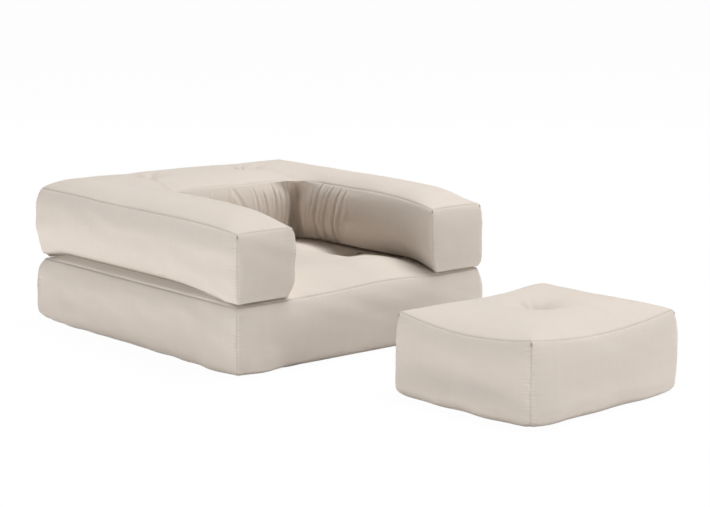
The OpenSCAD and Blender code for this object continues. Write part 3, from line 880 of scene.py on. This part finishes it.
COTTON = woven_cotton("cotton_cover", rgba(226, 216, 206), rgba(219, 208, 197))
LINING = woven_cotton("cotton_lining", rgba(205, 196, 186), rgba(197, 187, 176))
THREAD = twisted_thread("tuft_thread", rgba(196, 183, 168), rgba(164, 149, 133))
TACK = twisted_thread("tack_thread", rgba(186, 171, 155), rgba(160, 144, 128))
FOAM = open_foam("open_foam", rgba(244, 232, 196), rgba(232, 216, 176))


# The three covers, each on a fine lattice, with a coarse one for the simulation

base_fine = Lattice(places(2 * HALF_W, 0.0085), places(2 * HALF_D, 0.0085), places(BASE_H, 0.0035))
base_coarse = Lattice(
    places(2 * HALF_W, 0.017, 0.012), places(2 * HALF_D, 0.017, 0.012), places(BASE_H, 0.015, 0.010)
)
base_cover, base_points = sewn_cover(
    "base_cover", base_coarse, base_fine, base_form, base_pinned, 0.002, 0.007, base_finish
)
fold_fine = Lattice(u_lines(0.0085, 0.0022), places(ARM_W, 0.0050), places(FOLD_H, 0.0045))
fold_coarse = Lattice(u_lines(0.017, 0.014), places(ARM_W, 0.014, 0.010), places(FOLD_H, 0.015, 0.010))
fold_cover, fold_points = sewn_cover(
    "fold_cover", fold_coarse, fold_fine, fold_form, fold_pinned, 0.002, 0.006, fold_finish
)
pouf_fine = Lattice(places(POUF_W, 0.0070), places(POUF_D, 0.0070), places(POUF_H, 0.0036))
pouf_coarse = Lattice(*[places(length, 0.014, 0.010) for length in (POUF_W, POUF_D, POUF_H)])
pouf_cover, pouf_points = sewn_cover(
    "pouf_cover", pouf_coarse, pouf_fine, pouf_form, pouf_pinned, 0.0015, 0.005, pouf_finish
)

for cover, body, fill, nodes in (
    (base_cover, "base_mattress", 0.75, [
        "base_top_panel", "base_bottom_panel", "base_front_band", "base_rear_band",
        "base_left_band", "base_right_band", "base_upper_wadding", "base_lower_wadding",
    ]),
    (fold_cover, "folding_block", 0.85, [
        "fold_top_panel", "fold_bottom_panel", "fold_inner_band", "fold_left_band", "fold_right_band",
        "fold_rear_band", "left_arm_front", "right_arm_front", "fold_upper_wadding", "fold_lower_wadding",
    ]),
    (pouf_cover, "pouf", 0.8, [
        "pouf_top_panel", "pouf_bottom_panel", "pouf_front_band", "pouf_rear_band",
        "pouf_left_band", "pouf_right_band", "pouf_upper_wadding", "pouf_lower_wadding",
    ]),
):
    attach(cover, body)
    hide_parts(*nodes)


# Tufts, corner tacks, hinge flap and foam

def grid_quads(rows, columns, wrap=False):
    """Quads of a grid of points that is numbered row by row, closed round its columns when it wraps."""
    r, c = np.meshgrid(np.arange(rows - 1), np.arange(columns - (not wrap)), indexing="ij")
    here, after = r * columns + c, r * columns + (c + 1) % columns
    return np.stack([here, after, after + columns, here + columns], -1).reshape(-1, 4)


def tube_faces(rows, columns):
    """Faces of a tube: its grid's quads, closed round, and a flat face at each end."""
    first = np.arange(columns)
    last = first + (rows - 1) * columns
    return grid_quads(rows, columns, True).tolist() + [first[::-1].tolist(), last.tolist()]


def round_grid(shares, columns):
    """Two arrays for a round piece: the share along it and the angle about it, row by row."""
    return np.meshgrid(shares, np.arange(columns) * 2 * np.pi / columns, indexing="ij")


def wound_pad(at, up, radius=0.0075, rise=0.0026, rows=9, columns=48):
    """A tuft's pad: a low dome with a groove between each of its 12 wound threads and a dip where the cord
    comes out, closed by a flat foot 1.2 mm below its rim. It faces up or, for -1, down."""
    shares = np.linspace(0.02, 1, rows)
    t, turn = round_grid(np.concatenate([shares, shares[::-1]]), columns)
    ridge = 1 + 0.06 * np.cos(12 * turn + 2.5 * t)
    out = radius * t * ridge
    high = rise * (np.sqrt(np.maximum(1 - t * t, 0)) - 0.5 * bell(t, 0.25)) * ridge
    high[rows:] = -0.0012
    points = np.stack([out * np.cos(turn), out * np.sin(turn), up * high], -1).reshape(-1, 3)
    return points + at, [face[::up] for face in tube_faces(2 * rows, columns)]


def twisted_cord(x, y, low, high, radius=0.0018, rows=40, columns=12, lay=0.014):
    """A tuft's cord: a tube whose three plies wind round it once every 14 mm."""
    t, turn = round_grid(np.linspace(0, 1, rows), columns)
    z = between(low, high, t)
    out = radius * (1 + 0.16 * np.cos(3 * turn - 2 * np.pi * z / lay))
    points = np.stack([x + out * np.cos(turn), y + out * np.sin(turn), z], -1)
    return points.reshape(-1, 3), tube_faces(rows, columns)


def joined(name, parts):
    """One mesh object from several lists of points and faces."""
    points, faces, start = [], [], 0
    for part_points, part_faces in parts:
        points.append(part_points)
        faces += [[n + start for n in face] for face in part_faces]
        start += len(part_points)
    return mesh_object(name, np.concatenate(points), faces)


def nearest_height(points, lattice, face, x, y):
    """Height of a cover's top or underside at its point nearest to x and y."""
    net = lattice.faces[face][2].ravel()
    return points[net][np.argmin(np.hypot(points[net, 0] - x, points[net, 1] - y)), 2]


def thread_tufts(name, points, lattice, tufts):
    """Every tuft of a block: a pad on its top, one in its underside and the cord between them."""
    parts = []
    for x, y in tufts:
        low, high = (nearest_height(points, lattice, face, x, y) for face in (UNDERSIDE, TOP))
        parts += [
            wound_pad([x, y, high + 0.0006], 1), wound_pad([x, y, low - 0.0006], -1),
            twisted_cord(x, y, low - 0.0012, high + 0.0008),
        ]
    return joined(name, parts)


def corner_tacks(name, points, lattice, corners, middle=0.965, length=0.010, rows=33, columns=12):
    """Tacks at the tops of upright seams: oval bars along the seam, half sunk in it, ribbed by 8 stitches and
    tapered at both ends by the eighth power."""
    parts = []
    t, turn = round_grid(np.linspace(-0.999, 0.999, rows), columns)
    wide = (1 - t**8) ** 0.5 * (1 + 0.10 * np.cos(8 * np.pi * t))
    for a, b, out_x, out_y in corners:
        seam = points[lattice.number[a, b]]
        run = np.cumsum(np.insert(np.linalg.norm(np.diff(seam, axis=0), axis=1), 0, 0))
        reach = run[-1] * middle + t * length / 2
        axis = np.stack([np.interp(reach, run, seam[:, n]) for n in range(3)], -1)
        out, across = (np.array(way) / math.sqrt(2) for way in ([out_x, out_y, 0], [-out_y, out_x, 0]))
        rise, side = 0.0008 + 0.0016 * np.sin(turn) * wide, 0.0022 * np.cos(turn) * wide
        bar = axis + out * rise[..., None] + across * side[..., None]
        parts.append((bar.reshape(-1, 3), tube_faces(rows, columns)))
    return joined(name, parts)


def flap_leaf(name, profile, half_width=0.458, columns=140, rows=11):
    """One leaf of the hinge flap: a strip of cloth carried along a smooth profile from its seam to the fold
    line, with soft waves along it that are gone at both."""
    profile = np.array(profile)
    run = np.insert(np.cumsum(np.hypot(*np.diff(profile, axis=0).T)), 0, 0)
    place = carried(profile[:, None], run / run[-1], np.linspace(0, 1, rows))
    x, t = np.meshgrid(np.linspace(-half_width, half_width, columns), np.linspace(0, 1, rows))
    wave = 0.0008 * ripple(x, 0 * x, 0.06, 61) * bow(t)
    points = np.stack([x, place[..., 0] + wave, place[..., 1] + 0 * x], -1)
    leaf = mesh_object(name, points.reshape(-1, 3), grid_quads(rows, columns))
    corner = np.zeros(len(leaf.data.loops), np.int32)
    leaf.data.loops.foreach_get("vertex_index", corner)
    u, v = x.ravel()[corner], (t * run[-1]).ravel()[corner]
    add_map(leaf, "cloth", np.stack([u, v], -1))
    add_map(leaf, "hem", np.stack([half_width - np.abs(u), v + 0.004], -1))
    cloth = leaf.modifiers.new("cloth", "SOLIDIFY")
    cloth.thickness, cloth.offset = 0.0011, 0
    return leaf


def foam_block(name, node, size=None, turn=0.0, inset=0.006):
    """A cut foam block: the node's box, or a size in plan turned on the spot, less an inset at its sides,
    with each edge pressed in by the twelfth power of the other two shares."""
    low, high = (np.array(corner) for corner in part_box(node))
    middle, half = (low + high) / 2, (high - low) / 2
    if size:
        half[:2] = np.array(size) / 2
    half = half - [inset, inset, 0.001]
    block = Lattice(*[places(2 * size, 0.03, 0.003) for size in half])
    share = np.stack(block.shares, -1) * 2 - 1
    other = np.stack([share[:, [1, 2]], share[:, [0, 2]], share[:, [0, 1]]], 1)
    points = share * (half - 0.0035 * (np.abs(other) ** 12).sum(-1))
    cos, sin = math.cos(turn), math.sin(turn)
    points = points @ np.array([[cos, sin, 0], [-sin, cos, 0], [0, 0, 1]]) + middle
    piece = mesh_object(name, points, block.quads()[0])
    return piece


def fitted(piece, body, material, node=None):
    """Puts a material on a piece, says its body, and hides the CAD node that it stands for."""
    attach(piece, body)
    if node:
        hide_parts(node)
    piece.data.materials.append(material)


# Upright seams with a tack: the lattice's ends on its first two axes, and the way out of the corner
ARM_CORNERS = [(0, -1, -1, -1), (0, 0, 1, -1), (-1, 0, -1, -1), (-1, -1, 1, -1)]
POUF_CORNERS = [(0, 0, -1, -1), (-1, 0, 1, -1), (0, -1, -1, 1), (-1, -1, 1, 1)]
# Profiles of the flap's leaves, from their seams to the fold line, lengthways and up
LOWER_LEAF = [(0.5205, 0.2045), (0.5300, 0.2065), (0.5378, 0.2150), (0.5402, 0.2250), FOLD_LINE]
UPPER_LEAF = [(0.5212, 0.2116), (0.5280, 0.2148), (0.5345, 0.2235), FOLD_LINE]

for name, body, node, points, lattice, tufts in (
    ("base_thread_tufts", "base_mattress", "base_tufts", base_points, base_fine, SEAT_TUFTS),
    ("back_thread_tufts", "folding_block", "fold_tufts", fold_points, fold_fine, BACK_TUFTS),
    ("pouf_thread_tuft", "pouf", "pouf_tuft", pouf_points, pouf_fine, [POUF_AT]),
):
    fitted(thread_tufts(name, points, lattice, tufts), body, THREAD, node)
for name, body, points, lattice, corners in (
    ("arm_corner_tacks", "folding_block", fold_points, fold_fine, ARM_CORNERS),
    ("pouf_corner_tacks", "pouf", pouf_points, pouf_fine, POUF_CORNERS),
):
    fitted(corner_tacks(name, points, lattice, corners), body, TACK)
for name, node, body, profile in (
    ("flap_lower_leaf", "hinge_flap_lower_leaf", "base_mattress", LOWER_LEAF),
    ("flap_upper_leaf", "hinge_flap_upper_leaf", "folding_block", UPPER_LEAF),
):
    fitted(flap_leaf(name, profile), body, COTTON, node)
for name, node, body, *shape in (
    ("base_foam", "base_foam_core", "base_mattress"),
    ("back_foam", "back_foam_core", "folding_block"),
    ("left_arm_foam", "left_arm_foam_core", "folding_block"),
    ("right_arm_foam", "right_arm_foam_core", "folding_block"),
    ("pouf_foam", "pouf_foam_core", "pouf", (POUF_W, POUF_D), POUF_TURN),
):
    fitted(foam_block(name, node, *shape), body, FOAM, node)


# Floor, backdrop, light and camera


def white_ground(name):
    """White that is plain to the camera and in reflections, with a faint part that takes the object's
    shadow. Away from the object it glows, outside an ellipse on the floor."""
    cloth = Cloth(name)
    path = cloth.add("ShaderNodeLightPath")
    camera_ray, glossy_ray, clear_ray = (
        cloth.other(path, way) for way in ("Is Camera Ray", "Is Glossy Ray", "Is Transmission Ray")
    )
    seen = (camera_ray + glossy_ray + clear_ray).math("MINIMUM", 1.0)
    x, y = cloth.split(cloth.add("ShaderNodeTexCoord", output=OBJECT_COORDINATES))
    x, y = x / 0.62, (y + 0.45) / 1.05
    away = {0: (x * x + y * y).math("SQRT"), 1: 0.95, 2: 1.35}
    open_floor = cloth.add("ShaderNodeMapRange", away, interpolation_type="SMOOTHSTEP")
    plain, glow = (
        cloth.add("ShaderNodeEmission", {"Color": (1, 1, 1, 1), "Strength": power})
        for power in (1.0, 0.3)
    )
    matt = cloth.add("ShaderNodeBsdfDiffuse", {"Color": (0.86, 0.86, 0.86, 1)})
    glowing = cloth.add("ShaderNodeAddShader", {0: matt, 1: glow})
    lit = cloth.add("ShaderNodeMixShader", {0: open_floor, 1: matt, 2: glowing})
    return cloth.finished(cloth.add("ShaderNodeMixShader", {0: seen * 0.975, 1: lit, 2: plain}))


FLOOR_HALF, FLOOR_Z = 30, -0.0006
floor_corners = [(x * FLOOR_HALF, y * FLOOR_HALF, FLOOR_Z) for x, y in ((-1, -1), (1, -1), (1, 1), (-1, 1))]
floor = mesh_object("floor", floor_corners, [(0, 1, 2, 3)])
floor.data.materials.append(white_ground("white_ground"))

studio = Cloth("studio", bpy.data.worlds)
bpy.context.scene.world = studio.material
studio.add("ShaderNodeOutputWorld", {"Surface": studio.add("ShaderNodeMixShader", {
    0: studio.add("ShaderNodeLightPath"),
    1: studio.add("ShaderNodeBackground", {"Color": (1.0, 0.99, 0.98, 1), "Strength": 0.02}),
    2: studio.add("ShaderNodeBackground", {"Color": (1, 1, 1, 1), "Strength": 1.0}),
})})


def soft_lamp(name, place, target, size, power):
    """A square area lamp that faces a point."""
    lamp = bpy.data.lights.new(name, "AREA")
    lamp.shape, lamp.size, lamp.energy = "SQUARE", size, power
    holder = bpy.data.objects.new(name, lamp)
    bpy.context.scene.collection.objects.link(holder)
    holder.location = place
    x, y, z = np.array(target) - np.array(place)
    holder.rotation_euler = (math.atan2(math.hypot(x, y), -z), 0, math.atan2(y, x) - math.pi / 2)


soft_lamp("key_lamp", (2.2, -0.9, 7.5), (-0.1, -0.7, 0.2), 4.0, 590)
soft_lamp("left_lamp", (-5.5, -0.5, 0.85), (0, -0.2, 0.2), 1.6, 120)
soft_lamp("front_lamp", (0.7, -5.2, 2.4), (0.1, -0.8, 0.2), 2.0, 28)
soft_lamp("low_front_lamp", (0.7, -4.9, 1.0), (0.2, -0.8, 0.2), 1.6, 24)
soft_lamp("right_lamp", (5.5, 0.2, 0.95), (0, -0.2, 0.2), 1.6, 12)
soft_lamp("rear_lamp", (0.4, 6.0, 1.2), (0, 0.3, 0.2), 1.6, 60)

# The photograph's camera: its focal length and the picture's width in pixels, and its angles in radians
FOCAL_PX, PHOTO_PX = 1961.06, 710
LOOKS_DOWN, TURNS = 0.18, -0.6984
camera = bpy.data.objects.new("camera", bpy.data.cameras.new("camera"))
bpy.context.scene.collection.objects.link(camera)
bpy.context.scene.camera = camera
camera.data.sensor_width = 36
camera.data.lens = FOCAL_PX * 36 / PHOTO_PX
camera.data.clip_end = 100
camera.location = (-3.7251, -4.9129, 1.3538)
camera.rotation_euler = (math.pi / 2 - LOOKS_DOWN, 0, TURNS)
bpy.context.scene.view_settings.view_transform = "Standard"
